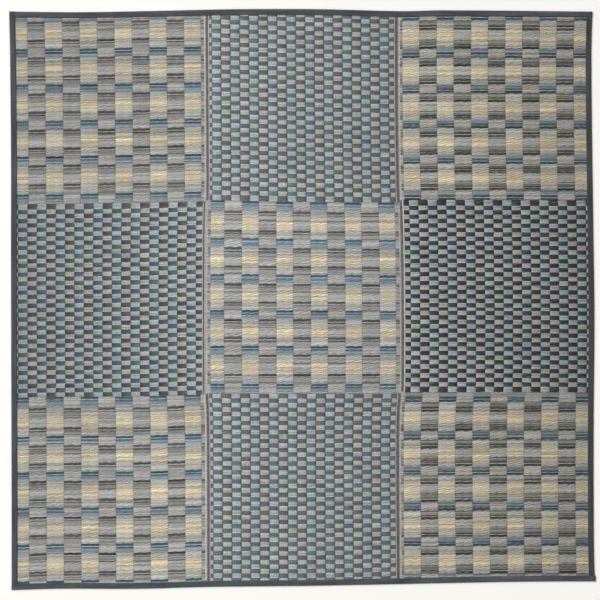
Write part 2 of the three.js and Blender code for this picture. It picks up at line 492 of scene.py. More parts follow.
def row_sag(strip, share, y):
    """A parabola across the strip through the table's left, middle and right values. It fades out
    under the tape, so that the cut ends stay straight."""
    table = ROW_SAG[strip]
    left, middle, right = (read_table([(row[0], row[k]) for row in table], y) for k in (1, 2, 3))
    across = left * 2 * (share - 0.5) * (share - 1) + right * 2 * share * (share - 0.5)
    across = across + middle * 4 * share * (1 - share)
    return across * smooth_step((Y_END - np.abs(y)) / PRESSED_FOR)


print("sag in the middle of each strip (mm):",
      [(row_sag(strip, np.array([0.5]), np.array([0.0])) / MM).round(1) for strip in ROW_SAG])

# %% [markdown]
# ## The woven surface
#
# Every rush row is a small ridge, and every binding is a groove across the ridges. So the height
# of the face is the cloth's thickness, less a ridge term that is greatest between two rows, less a
# groove term at the bindings. In the large check the rushes also lean between bindings, which
# gives its slanting streaks. The face has two steps a row and four or five a column, and the back,
# which is hardly ever seen, one a column. A displacement on a plain sheet could do this too, but a
# grid whose lines follow the rows and columns needs far fewer points.

# %% Sizes of the relief
RIDGE = 1.1 * MM
BACK_RIDGE = 0.5 * MM
COLUMN_GROOVE = 1.2 * MM
MIDDLE_GROOVE = 0.6 * MM
COLUMN_GROOVE_SHARE = 0.09
MIDDLE_GROOVE_SHARE = 0.15
LEAN = 5.0 * MM
LEAN_END_SHARE = 0.12
LEAN_TAPER_ROWS = 6
DARK_LEAN = 0.25
LEAN_STRENGTH = {(0, 0): 0.5, (0, 2): 0.7, (1, 1): 1.0, (2, 0): 0.8, (2, 2): 1.0}
print("relief (mm): ridges", RIDGE / MM, "grooves", COLUMN_GROOVE / MM, "lean", LEAN / MM)

# %% [markdown]
# A column is divided where it bends: finely beside a binding, and coarsely between. Half a wide
# column, from its side to the binding in its middle, is called a unit here.

# %% Grid lines across a block
HALF_STEPS = (0.0, 0.12, 0.5, 0.88)
COLUMN_STEPS = (0.0, 0.1, 0.3, 0.7, 0.9)
NARROW_STEPS = (0.0, 0.5)
WIDE_FROM = 40
NARROW_BELOW = 28


def column_units(block):
    """The pieces of a block between bindings: left, right (mm), kind, and the share of the column
    at the piece's left and right."""
    units = []
    at = 0.0
    for kind, width in COLUMNS[block]:
        halves = 2 if is_large(block) and width > WIDE_FROM else 1
        for half in range(halves):
            left = at + width * half / halves
            units.append((left, left + width / halves, kind, half / halves, (half + 1) / halves))
        at += width
    return units


def unit_steps(block, width):
    """How a unit is divided: finely near its bindings, and plainly in a narrow one."""
    if width < NARROW_BELOW:
        return NARROW_STEPS
    return HALF_STEPS if is_large(block) else COLUMN_STEPS


def face_columns(block):
    """Arrays over the face's grid lines: place (m from the strip's left), kind, share of the
    column, share of the unit, and unit number."""
    rows = []
    for number, (left, right, kind, low, high) in enumerate(column_units(block)):
        for t in unit_steps(block, right - left):
            rows.append((left + (right - left) * t, kind, low + (high - low) * t, t, number))
    rows.append((right, kind, high, 1.0, number))
    table = np.array(rows)
    table[:, 0] *= MM
    return table.T


for block in ((0, 0), (1, 0)):
    print("grid lines across block", block, len(face_columns(block)[0]))


# %% Relief as functions of the place
def groove_depth(share, unit_share):
    """Deepest at a column's own sides, less deep at the binding in its middle, and eased out from
    both by a smooth step."""
    at_side = 1 - smooth_step(np.minimum(share, 1 - share) / COLUMN_GROOVE_SHARE)
    at_unit_end = 1 - smooth_step(np.minimum(unit_share, 1 - unit_share) / MIDDLE_GROOVE_SHARE)
    return np.maximum(COLUMN_GROOVE * at_side, MIDDLE_GROOVE * at_unit_end)


def cloth_heights(x, y):
    """Heights of the back and the face before any relief. Near the tape the cloth is pressed and
    held up by the tape's lower side, and it eases down to the floor further in."""
    from_edge = np.minimum(X_END - np.abs(x), Y_END - np.abs(y))
    free = smooth_step((from_edge - PRESSED_FOR) / (FREE_FROM - PRESSED_FOR))
    low = UNDER_EDGE * (1 - free)
    return low, (UNDER_EDGE + EDGE_THICK) * (1 - free) + CLOTH_THICK * free


def lean_share(unit_share):
    """Where a rush leans up between two bindings: down after one, up before the next."""
    near_end = smooth_step(np.minimum(unit_share, 1 - unit_share) / LEAN_END_SHARE)
    return (unit_share - 0.5) * near_end


def lean_weight(kinds, rows):
    """Plain and straw rushes lean fully, and those of the dark bands hardly at all."""
    band = rows[:, None] // LARGE_BAND
    dark = np.where(kinds[None, :] == BROWN, band % 2 == 1, band == 0)
    return np.where(dark, DARK_LEAN, 1.0)


def row_lean(block, lines, kind, unit_share):
    """How far each point is moved along the rug: the lean, times the mean weight of the rows on
    either side, fading out in the last rows before the weave changes."""
    rows = chart_rows(block)
    count = len(rows)
    weight = lean_weight(kind, rows)
    weight = np.concatenate([weight[:1], weight, weight[-1:]])
    at_line = np.clip(np.round(lines + 0.25).astype(int), 0, count)
    between = (weight[at_line] + weight[np.minimum(at_line + 1, count + 1)]) / 2
    taper = smooth_step(np.minimum(lines, count - lines) / LEAN_TAPER_ROWS)[:, None]
    return LEAN * LEAN_STRENGTH[block] * lean_share(unit_share)[None, :] * between * taper


back_and_face = np.array(cloth_heights(np.array([0.0, X_END - PRESSED_FOR]), np.zeros(2)))
print("back and face (mm), each in the middle and at the tape:", (back_and_face / MM).round(2))

# %% [markdown]
# The points of a block are worked out as whole arrays: first on the square rug, where rows and
# columns are straight, then leaning and sagging, and last moved to the uneven rug.


# %% Points of one block
def block_limits(block):
    """Left, right, top and bottom of a block on the square rug."""
    strip, row = block
    left = -X_END + strip * STRIP_WIDTH
    ends = [Y_END, *(v * MM for v in CHANGE_LINES[strip]), -Y_END]
    return left, left + STRIP_WIDTH, ends[row], ends[row + 1]


def settle(block, x, y):
    """Lets the rows sag and holds every point clear of the tape's fold. Gives the place in the
    frame and the heights of the back and the face."""
    y = y - row_sag(block[0], (x - block_limits(block)[0]) / STRIP_WIDTH, y)
    x = np.clip(x, EDGE_INSET - X_END, X_END - EDGE_INSET)
    y = np.clip(y, EDGE_INSET - Y_END, Y_END - EDGE_INSET)
    return (*place(x, y), *cloth_heights(x, y))


def block_grid(block):
    """Points of the face and the back as two arrays of (row line, column line, 3)."""
    left, right, top, bottom = block_limits(block)
    place_on, kind, share, unit_share, _ = face_columns(block)
    count = len(chart_rows(block))
    lines = np.arange(2 * count + 1) / 2
    between_rows = 1 - (np.arange(2 * count + 1) % 2)[:, None]
    x = np.clip(left + place_on, left + SEAM_GAP / 2, right - SEAM_GAP / 2)
    y = top + (bottom - top) * lines / count
    face_x, face_y = np.meshgrid(x, y)
    if is_large(block):
        face_y = face_y + row_lean(block, lines, kind, unit_share)
    px, py, _, high = settle(block, face_x, face_y)
    relief = RIDGE * between_rows + groove_depth(share, unit_share)[None, :]
    face = np.stack([px, py, high - relief], axis=-1)
    ends = np.append(np.flatnonzero(unit_share == 0), len(x) - 1)
    px, py, low, _ = settle(block, *np.meshgrid(x[ends], y))
    back = np.stack([px, py, low + BACK_RIDGE * between_rows], axis=-1)
    return face, back, ends


print("points of the face of block (1, 1):", block_grid((1, 1))[0].shape)

# %% [markdown]
# A mesh is a few long lists: its points, the corners of all its polygons in a row, and where each
# polygon starts. `foreach_set` fills a whole list at once, which takes moments where a loop over a
# hundred thousand points would take minutes. Each finished piece gets its material here, rides on
# the one body of the rug and, where it dresses a plain solid, takes that solid's place.


# %% Faces and pieces
def quads(grid, flip=False):
    """The four corners of each cell of a grid of point numbers, so that it faces up, or down."""
    cells = np.stack([grid[:-1, :-1], grid[1:, :-1], grid[1:, 1:], grid[:-1, 1:]], axis=-1)
    cells = cells.reshape(-1, 4)
    return cells[:, ::-1] if flip else cells


def new_piece(name, points, polygons, rounded, maps):
    """A piece from points, lists of polygons and, for each map, a pair of numbers per corner. The
    first `rounded` polygons are shaded smooth."""
    corners = np.concatenate([p.ravel() for p in polygons])
    sizes = np.concatenate([np.full(len(p), p.shape[1]) for p in polygons])
    mesh = bpy.data.meshes.new(name)
    mesh.vertices.add(len(points))
    mesh.vertices.foreach_set("co", points.astype(np.float32).ravel())
    mesh.loops.add(len(corners))
    mesh.loops.foreach_set("vertex_index", corners.astype(np.int32))
    mesh.polygons.add(len(sizes))
    starts = np.concatenate([[0], np.cumsum(sizes)[:-1]])
    mesh.polygons.foreach_set("loop_start", starts.astype(np.int32))
    mesh.polygons.foreach_set("use_smooth", np.arange(len(sizes)) < rounded)
    mesh.update(calc_edges=True)
    for layer, pairs in maps.items():
        uv = mesh.uv_layers.new(name=layer)
        uv.data.foreach_set("uv", pairs.astype(np.float32).ravel())
    piece = bpy.data.objects.new(name, mesh)
    bpy.context.scene.collection.objects.link(piece)
    return piece


def hand_over(piece, material, slot, *nodes):
    """Gives a piece its material, and says which solids it stands for, if any."""
    piece.data.materials.append(material)
    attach(piece, "root")
    if nodes:
        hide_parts(*nodes)
    piece.data.calc_loop_triangles()
    print(piece.name, "triangles", len(piece.data.loop_triangles))


print("cells of a grid of 3 by 3 points:", len(quads(np.arange(9).reshape(3, 3))))

# %% [markdown]
# A map tells the material where a point lies in the cloth. The chart map holds the kind of column
# and the row of the repeat, the thread map counts units across and rushes down the whole strip,
# and the map for baking, whose name the export looks for, lays the face, the back and the sides
# out flat without overlap. A corner stays a hair's breadth inside its own column and row, so that
# rounding can't read the next one.

# %% Maps of one block
HAIR = 0.002
ROWS_PER_BLOCK = 172
BAKE_MAP = "OFBake"
FACE_SPAN = (0.99, 0.27)
BACK_SPAN = (0.24, 0.01)
SIDE_SPAN = (0.012, 0.988)


def corner_pairs(left, right, upper, lower):
    """Values at the four corners of grid cells, in the order of quads, from values on the left
    and right of each column and on the upper and lower line of each row."""
    u = np.stack([left, left, right, right], axis=-1)[None].repeat(len(upper), axis=0)
    v = np.stack([upper, lower, lower, upper], axis=-1)[:, None].repeat(len(left), axis=1)
    return np.stack([u, v], axis=-1).reshape(-1, 4, 2)


def side_maps(block, stops_at, back):
    """The three maps of the face, or of the back, whose columns swap straw or teal for brown."""
    place_on, kind, share, unit_share, number = face_columns(block)
    rows = np.repeat(chart_rows(block), 2)
    halves = np.arange(len(rows)) % 2
    lines = np.arange(len(rows) + 1) / 2 + ROWS_PER_BLOCK * block[1]
    starts, stops = stops_at[:-1], stops_at[1:]
    kinds = kind[starts]
    if back:
        kinds = np.where(kinds <= BROWN, BROWN - kinds, kinds)
    until, unit_until = (np.where(s[stops] == 0, 1.0, s[stops]) for s in (share, unit_share))
    inside = [kinds + HAIR + (1 - 2 * HAIR) * s for s in (share[starts], until)]
    upper, lower = rows + np.where(halves, 0.5, HAIR), rows + np.where(halves, 1 - HAIR, 0.5)
    across = SIDE_SPAN[0] + (SIDE_SPAN[1] - SIDE_SPAN[0]) * (place_on / place_on[-1])
    down = np.linspace(*(BACK_SPAN if back else FACE_SPAN), len(rows) + 1)
    units = number[starts] + unit_share[starts], number[starts] + unit_until
    return [
        corner_pairs(*inside, upper, lower),
        corner_pairs(*units, lines[:-1], lines[1:]),
        corner_pairs(across[starts], across[stops], down[:-1], down[1:]),
    ]


print("corners on the face's maps of block (1, 1):", side_maps((1, 1), np.arange(9), False)[0].shape)

# %% [markdown]
# The face and the back are joined by four narrow sides, so that the piece is closed and could be
# printed or simulated. A side at the left or right is a row of quads. One at the top or bottom is a
# many-sided polygon for each unit, because the face has more points there than the back.

# %% A closed piece from the face, the back and the narrow sides
WALL_AT = {0: 0.003, -1: 0.994}
WALL_ON_MAP = 0.004
RIM_AT = {0: 0.247, -1: 0.256}
RIM_ON_MAP = 0.006
STRIP_NAMES = ("left", "middle", "right")
ROW_NAMES = ("top", "middle", "bottom")


def wall(face_ids, back_ids, face_maps, column):
    """The narrow side at the first or last column, in the colours of the face beside it."""
    pair = (face_ids, back_ids) if column == 0 else (back_ids, face_ids)
    cells = quads(np.stack([ids[:, column] for ids in pair], axis=1))
    maps = [m.reshape(-1, face_ids.shape[1] - 1, 4, 2)[:, column].copy() for m in face_maps]
    at = WALL_AT[column]
    maps[2][..., 0] = np.array([at, at, at + WALL_ON_MAP, at + WALL_ON_MAP])
    return cells, maps


def rim(face_ids, back_ids, face_maps, line, ends, k):
    """One polygon of the narrow side at the first or last line: two points of the back, and the
    face's points between them."""
    span = slice(ends[k], ends[k + 1])
    along_face = face_ids[line, ends[k]:ends[k + 1] + 1]
    ids = np.concatenate([[back_ids[line, k + 1], back_ids[line, k]], along_face])
    near, far = (0, 3) if line == 0 else (1, 2)
    maps = [m.reshape(len(face_ids) - 1, -1, 4, 2)[line, span] for m in face_maps]
    maps = [np.concatenate([m[-1:, far], m[:1, near], m[:, near], m[-1:, far]]) for m in maps]
    maps[2][:, 1] = RIM_AT[line]
    maps[2][:2, 1] += RIM_ON_MAP
    order = slice(None, None, 1 if line == 0 else -1)
    return ids[None, order], [m[None, order] for m in maps]


def woven_block(block):
    """The face and the back as grids of quads, and then the narrow sides."""
    face, back, ends = block_grid(block)
    face_ids = np.arange(face[..., 0].size).reshape(face.shape[:2])
    back_ids = np.arange(back[..., 0].size).reshape(back.shape[:2]) + face_ids.size
    face_maps = side_maps(block, np.arange(face.shape[1]), False)
    back_maps = [m[:, ::-1] for m in side_maps(block, ends, True)]
    parts = [(quads(face_ids), face_maps), (quads(back_ids, flip=True), back_maps)]
    parts += [wall(face_ids, back_ids, face_maps, column) for column in (0, -1)]
    parts += [
        rim(face_ids, back_ids, face_maps, line, ends, k)
        for line in (0, -1)
        for k in range(len(ends) - 1)
    ]
    maps = {
        name: np.concatenate([m[k].reshape(-1, 2) for _, m in parts])
        for k, name in enumerate(("chart", "thread", BAKE_MAP))
    }
    points = np.concatenate([face.reshape(-1, 3), back.reshape(-1, 3)])
    name = f"weave_{STRIP_NAMES[block[0]]}_{ROW_NAMES[block[1]]}"
    rounded = len(parts[0][0]) + len(parts[1][0])
    return new_piece(name, points, [p for p, _ in parts], rounded, maps)


print("pieces to weave:", len(COLUMNS))

# %% [markdown]
# ## Dyes and charts
#
# The pattern is a chart: one letter for each rush row of a repeat, read downwards, once for the
# straw or teal columns and once for the brown ones. An image could hold the chart too, but letters
# are easier to correct row by row. Each strip has its own depth of the dark and the light colours.
# Where two strips are sewn, each shows a pale line and a dark line.

# %% Charts, one letter for each rush row
LARGE_DYES = {
    "N": dye(55, 78, 87),
    "n": dye(73, 94, 105),
    "m": dye(103, 119, 127),
    "o": dye(120, 130, 134),
    "l": dye(137, 151, 157),
    "r": dye(134, 139, 140),
    "L": dye(153, 158, 159),
    "g": dye(170, 168, 162),
    "b": dye(177, 172, 163),
    "w": dye(191, 184, 167),
    "v": dye(174, 167, 153),
    "x": dye(190, 180, 155),
    "Y": dye(201, 190, 164),
    "z": dye(217, 205, 178),
    "y": dye(206, 193, 164),
    "p": dye(176, 171, 160),
    "q": dye(169, 165, 155),
    "s": dye(184, 183, 177),
    "t": dye(169, 171, 167),
    "u": dye(158, 163, 163),
    "D": dye(66, 65, 66),
    "d": dye(87, 86, 85),
    "k": dye(137, 136, 132),
    "f": dye(118, 117, 114),
    "j": dye(129, 128, 124),
    "i": dye(148, 147, 144),
    "e": dye(156, 155, 152),
    "h": dye(166, 165, 162),
}
STRAW_CHART = "NNlnmlor" + "Lgggbwvx" + "YzyxyYww" + "ppqqpstu"
BROWN_CHART = "ehhhhhhe" + "DDidjkif"
SMALL_PALE = {"s": dye(170, 171, 169), "S": dye(168, 172, 171), "g": dye(160, 161, 160)}
SMALL_DARK = {
    0: {"t": dye(69, 93, 102), "d": dye(75, 78, 79)},
    1: {"t": dye(91, 109, 115), "d": dye(96, 98, 99)},
    2: {"t": dye(38, 58, 67), "d": dye(43, 45, 49)},
}
SMALL_TEAL_CHART = "SSgS" + "tttt"
SMALL_BROWN_CHART = "dddd" + "ssgs"
PALE_SELVEDGE = dye(176, 173, 170)
DARK_SEAM_LINE = dye(98, 94, 94)
SELVEDGE_TWIST = dye(140, 136, 134)
DARK_BELOW, LIGHT_ABOVE = 0.10, 0.34
print("rows in a repeat:", len(STRAW_CHART), len(BROWN_CHART), len(SMALL_TEAL_CHART))


# %% Dyes of one strip, and the stops of a ramp
def strip_dyes(dyes, dark, light, tint):
    """The dyes of one strip: dark ones are scaled by one number and light ones by another, with a
    smooth change between them by how bright a dye is, and all of them by the tint."""
    scaled = {}
    for letter, colour in dyes.items():
        share = (sum(colour) / 3 - DARK_BELOW) / (LIGHT_ABOVE - DARK_BELOW)
        by = dark + (light - dark) * float(smooth_step(share))
        scaled[letter] = tuple(c * by * t for c, t in zip(colour, tint))
    return scaled


def chart_stops(chart, dyes):
    """Stops for a ramp without blending: a new stop wherever the letter changes."""
    places = [k for k in range(len(chart)) if k == 0 or chart[k - 1] != chart[k]]
    return [(k / len(chart), dyes[chart[k]]) for k in places]


print("stops for the straw columns:", len(chart_stops(STRAW_CHART, LARGE_DYES)))

# %% [markdown]
# ## Rush finishes
#
# Rushes take dye unevenly and no two are alike. So each finish starts from the chart's colour and
# then varies it: slowly along the cloth, from band to band, from rush to rush, and in flecks along
# each stem, and it paints a highlight in slanting streaks. All of this is noise and chance read from
# the cloth's own maps, so it stays with the cloth from every side. The first table holds what differs
# between the large check (True) and the small one (False), and the second what differs from strip to
# strip: how deep the dark and the light colours are and their tint, uneven dye in dark and light
# rows, how much brighter or darker the cloth grows to the right and up, how strong the painted slant
# highlight is, how ragged a row's line is, and how dark the painted shade at the ends of a cell is
# and which end gets painted light.

# %% What differs between the weaves and between the strips
UNITS_ACROSS = 24
WARPS_PER_UNIT = 4
FLECKS_PER_UNIT = 8
WEAVES = {
    True: {"band": LARGE_BAND, "units": 2, "slip": 0.05, "early": 1.5, "rush": 0.55, "bunch": 0.95,
           "calm": 0.8, "fleck": 7, "speck": 0.14, "pinch": 0.05, "gap": 0.5, "end_from": 0.86,
           "seed": 3.0},
    False: {"band": SMALL_BAND, "units": 1, "slip": 0.09, "early": 0.0, "rush": 0.3, "bunch": 0.0,
            "calm": 0.0, "fleck": 5, "speck": 0.24, "pinch": 0.14, "gap": 0.56, "end_from": 0.66,
            "seed": 5.5},
}
STRIPS = {
    (0, True): {"dark": 1.04, "light": 0.905, "tint": (1, 1, 1), "lots": (0.055, 0.025),
                "fade": (0.20, -0.05), "streaks": 0.14, "ragged": 0.9, "ends": 0.24, "lit": 0.0},
    (1, True): {"dark": 1.34, "light": 0.975, "tint": (1, 1, 1.015), "lots": (0.05, 0.02),
                "fade": (-0.12, 0.01), "streaks": 0.19, "ragged": 0.7, "ends": 0.24, "lit": 0.0},
    (2, True): {"dark": 0.45, "light": 0.81, "tint": (1.015, 1, 0.965), "lots": (0.07, 0.025),
                "fade": (-0.33, 0.03), "streaks": 0.19, "ragged": 0.55, "ends": 0.24, "lit": 0.0},
    (0, False): {"dark": 1.0, "light": 0.96, "tint": (1, 1, 1), "lots": (0.20, 0.045),
                 "fade": (0.34, 0), "streaks": 0.06, "ragged": 0.8, "ends": 0.28, "lit": 1.0},
    (1, False): {"dark": 1.0, "light": 1.04, "tint": (0.985, 1.003, 1.018), "lots": (0.11, 0.04),
                 "fade": (-0.24, 0), "streaks": 0.06, "ragged": 0.8, "ends": 0.5, "lit": -0.4},
    (2, False): {"dark": 1.0, "light": 0.825, "tint": (1.01, 1, 0.98), "lots": (0.24, 0.05),
                 "fade": (-0.42, 0), "streaks": 0.06, "ragged": 0.8, "ends": 0.28, "lit": -1.0},
}
print("finishes to make:", len(STRIPS))


# %% Where a point lies
def read_maps(rush, look, seed):
    """Keeps on the finish, as wires, what the two maps say: the kind of column, the shares across
    the column and across the row, the stem, the unit, the band and the cell. `slant` is the wave
    of a slanting streak, a sine of the way down plus the way along, shifted by slow noise. It
    shifts the rows' colours and the bump, and it is also the painted highlight of the streaks."""
    column, rush.row = rush.uv("chart")
    rush.unit, rush.thread = rush.uv("thread")
    rush.kind = column.math("FLOOR")
    rush.share = column.math("FRACT")
    rush.across = rush.row.math("FRACT")
    rush.stem = rush.thread.math("FLOOR")
    rush.unit_number = rush.unit.math("FLOOR")
    rush.band = (rush.thread / look["band"]).math("FLOOR")
    rush.cell = (rush.unit / look["units"]).math("FLOOR")
    wander = rush.noise(rush.unit * 0.7, rush.thread * 0.22, seed + 31.0, 2.0)
    turns = rush.thread * 0.5 + rush.unit.math("FRACT") * 0.9 + wander * 1.6
    rush.slant = (turns * (2 * math.pi)).math("SINE")


def chart_colour(rush, look, charts, dyes, seed):
    """The dye of the row and column that a point lies in. The row is read a little off its place:
    by noise along each stem, by the streaks, and by a whole band that comes early or late. A rush
    may also pass its binding by a hair, and then shows the next column's dye."""
    lap = rush.noise(rush.unit * 2.2, rush.thread * 0.7, seed + 41.0, 2.0)
    early = rush.noise(rush.band * 7.3, rush.unit * 0.1, seed + 51.0, 0.0)
    line = rush.row + (lap - 0.5) * look["ragged"] + rush.slant * (look["ragged"] * 0.12)
    line = (line + (early - 0.5) * look["early"]).math("FLOOR")
    slip = (rush.chance(rush.stem, rush.unit_number, seed + 2.0) - 0.5) * look["slip"]
    slid = rush.share + slip
    crossed = (slid > 1.0) + (slid < 0.0)
    is_brown = rush.kind > (BROWN - 0.5)
    side = is_brown * (1 - crossed) + (1 - is_brown) * crossed
    straw, brown = (
        rush.ramp((line % len(chart) + 0.5) / len(chart), chart_stops(chart, dyes), "CONSTANT")
        for chart in charts
    )
    # The pale line and the dark line that each strip shows beside a seam.
    seam_lines = rush.mix(rush.kind > (PALE_EDGE + 0.5), PALE_SELVEDGE, DARK_SEAM_LINE)
    colour = rush.mix(rush.kind > (BROWN + 0.5), rush.mix(side, straw, brown), seam_lines)
    return rush.mix(rush.kind > (DARK_EDGE + 0.5), colour, rush.mix(0.28, brown, SELVEDGE_TWIST))


print("dark selvedge:", [round(c, 3) for c in DARK_SEAM_LINE])

# %% [markdown]
# Uneven dye and a painted highlight make a number that the colour is multiplied by, near 1. It is
# a sum of small swings of different sizes: noise that changes slowly, streaks, one random number for
# each rush in a cell, one for each whole row of the strip, flecks, and the slanting wave, which is a
# painted highlight. Dark rows swing more than light ones. Light and shade are a second number: rows
# are darker in the gaps between them, where a warp string pinches them, and at the ends of a cell,
# where the rush dives under.


# %% Uneven dye with a painted highlight, and painted shade
def uneven_dye_and_highlight(rush, look, lightness, streak, seed):
    """One, plus every swing about its own middle. The slanting wave in it is a painted highlight."""
    unit, thread, stem = rush.unit, rush.thread, rush.stem
    slow = rush.noise(unit * 0.55, thread * 0.16, seed, 2.0)
    fleck = rush.noise(unit * look["fleck"], thread * 1.1, seed + 25.0, 2.0, 0.7)
    speck = rush.chance((unit * FLECKS_PER_UNIT).math("FLOOR"), stem, seed + 60.0)
    each = rush.chance(stem, rush.cell, seed)
    bunch = rush.chance(stem, 1.0, seed + 70.0)
    strength = look["streaks"] * (0.4 + rush.smooth(slow, 0.3, 0.7) * 1.2)
    tone = 1 + (slow - 0.5) * 0.34 + (streak - 0.5) * 0.7 + (each - 0.5) * look["rush"]
    # The slant term paints a highlight in slanting streaks over the rows.
    tone = tone + (fleck - 0.5) * 0.6 + (speck - 0.5) * look["speck"] + rush.slant * strength
    return tone + (bunch - 0.5) * (look["bunch"] - lightness * look["calm"])


def dye_lots(rush, look, lightness, seed):
    """Three tints multiplied: a slow one from cool to warm, one for each cell and one for each
    rush in a cell, mixed with white so that little of them is left."""
    warm = rush.noise(rush.unit * 0.8, rush.thread * 0.3, seed + 7.0, 1.0)
    tint = rush.ramp(
        warm, [(0.25, (0.955, 1.005, 1.02)), (0.5, (1.0, 1.0, 1.0)), (0.75, (1.03, 0.985, 0.985))]
    )
    spread = look["lots"][0] + lightness * (look["lots"][1] - look["lots"][0])
    for lot in (rush.tint(rush.band, rush.cell, seed), rush.tint(rush.stem, rush.cell, seed + 9.0)):
        own = rush.mix(spread, (1.0, 1.0, 1.0), rush.scale_colour(lot, 2.0))
        tint = rush.mix(1.0, tint, own, "MULTIPLY")
    return tint


def gap_shade(rush, look, pinch):
    """Just above one on a row, and dark in the gap between two rows, more so at a warp string."""
    gap = (rush.across * 2 - 1).math("ABSOLUTE")
    pinched = pinch * look["pinch"]
    return 1.0 + look["gap"] * 0.14 - pinched - rush.smooth(gap, 0.62, 1.0) * (pinched + look["gap"])


def end_shade(rush, look, lightness):
    """Dark at both ends of a cell. In the small check one end also catches more light."""
    facing = (rush.share * 2 - 1) * look["lit"]
    from_middle = (rush.share * 2 - 1).math("ABSOLUTE")
    at_end = rush.smooth(from_middle, look["end_from"], 1.0)
    return (1 - at_end * (look["ends"] - facing * 0.2)) * (1 + facing * 0.42 * (1 - lightness * 0.75))


print("swing of a single rush:", {large: look["rush"] for large, look in WEAVES.items()})

# %% [markdown]
# The stems inside one row are too fine to model, so they are bump: three rounded stems, fine grain
# along them, the slanting wave and the pinch of each warp string.


# %% The finish of one weave on one strip
def rush_finish(name, look, charts, dyes, seed):
    """The chart's colour, times the tints, times the uneven dye with its painted highlight, the
    painted shades, and a change of brightness to the right and up.
    """
    rush = Finish(name, {"Specular IOR Level": 0.28, "Sheen Weight": 0.12})
    read_maps(rush, look, seed)
    colour = chart_colour(rush, look, charts, dyes, seed)
    brightness = rush.add("ShaderNodeRGBToBW", {}, {0: colour})
    lightness = rush.smooth(brightness, 0.12, 0.34)
    streak = rush.noise(rush.unit * 1.4, rush.thread * 2.6, seed + 15.0, 2.0)
    warp = (rush.unit * WARPS_PER_UNIT).math("FRACT")
    pinch = rush.smooth((warp * 2 - 1).math("ABSOLUTE"), 0.5, 1.0)
    # The cloth grows brighter or darker towards the right and towards the top, by the strip's own two
    # numbers.
    to_right, up = look["fade"]
    tone_change = 1 + (rush.unit / UNITS_ACROSS - 0.5) * to_right + (1.5 - rush.thread / ROWS_PER_BLOCK) * up
    tone = uneven_dye_and_highlight(rush, look, lightness, streak, seed) * gap_shade(rush, look, pinch)
    tone = tone * end_shade(rush, look, lightness) * tone_change
    colour = rush.mix(1.0, colour, dye_lots(rush, look, lightness, seed), "MULTIPLY")
    stem_round = 1 - ((rush.across * 3).math("FRACT") * 2 - 1) ** 2
    grain = rush.noise(rush.unit * 9, rush.thread * 7, seed + 3.0, 2.0)
    height = stem_round * 0.6 + grain * 0.3 + rush.slant * 0.5 - pinch * 0.5
    rush.dress({
        "Base Color": rush.scale_colour(colour, tone),
        "Normal": rush.bump(height, 0.35 * MM, 0.6),
        "Roughness": 0.52 + streak * 0.2,
    })
    return rush.material


finishes = {}
for (strip, large), strip_look in STRIPS.items():
    look = WEAVES[large] | strip_look
    dyes = strip_dyes(LARGE_DYES if large else SMALL_PALE, look["dark"], look["light"], look["tint"])
    if not large:
        dyes = dyes | SMALL_DARK[strip]
    charts = (STRAW_CHART, BROWN_CHART) if large else (SMALL_TEAL_CHART, SMALL_BROWN_CHART)
    name = f"rush_{'large' if large else 'small'}_{strip}"
    finishes[strip, large] = rush_finish(name, look, charts, dyes, look["seed"] + 12 * strip)
print("finishes:", sorted(m.name for m in finishes.values()))

# %% [markdown]
# ## The nine stretches of cloth
#
# On the real rug a strip is one length of cloth, and the weave changes on the loom. Here each
# stretch of one weave is a piece of its own, which keeps every mesh light enough to handle. Each
# piece stands for its part of the imported strip.

# %% Weave the nine pieces
STRIP_NODES = ("strip_left", "strip_middle", "strip_right")
for block in sorted(COLUMNS):
    piece = woven_block(block)
    hand_over(piece, finishes[block[0], is_large(block)], "rush_cloth", STRIP_NODES[block[0]])
    _, _, top, bottom = block_limits(block)
    top - bottom

# %% [markdown]
# ## The folded tape
#
# The edge is bound with a firm woven tape, folded over the cloth and sewn through. Its section is
# a U, carried along each side of the rug. The tape crosses itself at the corners, one length over
# the other, and the solids already say which lies on top. A curve with a bevel could carry the
# section too, but here every ring has to follow the uneven edge point by point.

# %% Tape section
TAPE_WIDTH = 26 * MM
TAPE_THICK = 1.0 * MM
FIT_GAP = 0.3 * MM
EDGE_HEIGHT = 2 * TAPE_THICK + 2 * FIT_GAP + EDGE_THICK
TAPE_STEP = 12 * MM
FLAP_POINTS = 5
FOLD_POINTS = 9


def fold_line(radius):
    """Rows of (inward, height): straight out along the lower flap, half a circle of the radius
    round the fold, and straight back along the upper flap."""
    angle = np.linspace(-np.pi / 2, np.pi / 2, FOLD_POINTS)
    centre = EDGE_HEIGHT / 2
    fold = np.stack([centre - radius * np.cos(angle), centre + radius * np.sin(angle)], 1)
    flap = np.linspace(TAPE_WIDTH, centre, FLAP_POINTS, endpoint=False)
    lower = np.stack([flap, np.full(FLAP_POINTS, fold[0, 1])], 1)
    upper = np.stack([flap[::-1], np.full(FLAP_POINTS, fold[-1, 1])], 1)
    return np.concatenate([lower, fold, upper])


def tape_section():
    """The fold line on the tape's outside, and the same again, backwards, on its inside."""
    outside, inside = (fold_line(EDGE_HEIGHT / 2 - inset) for inset in (0, TAPE_THICK))
    return np.concatenate([outside, inside[::-1]])


print("points of the tape's section:", len(tape_section()))


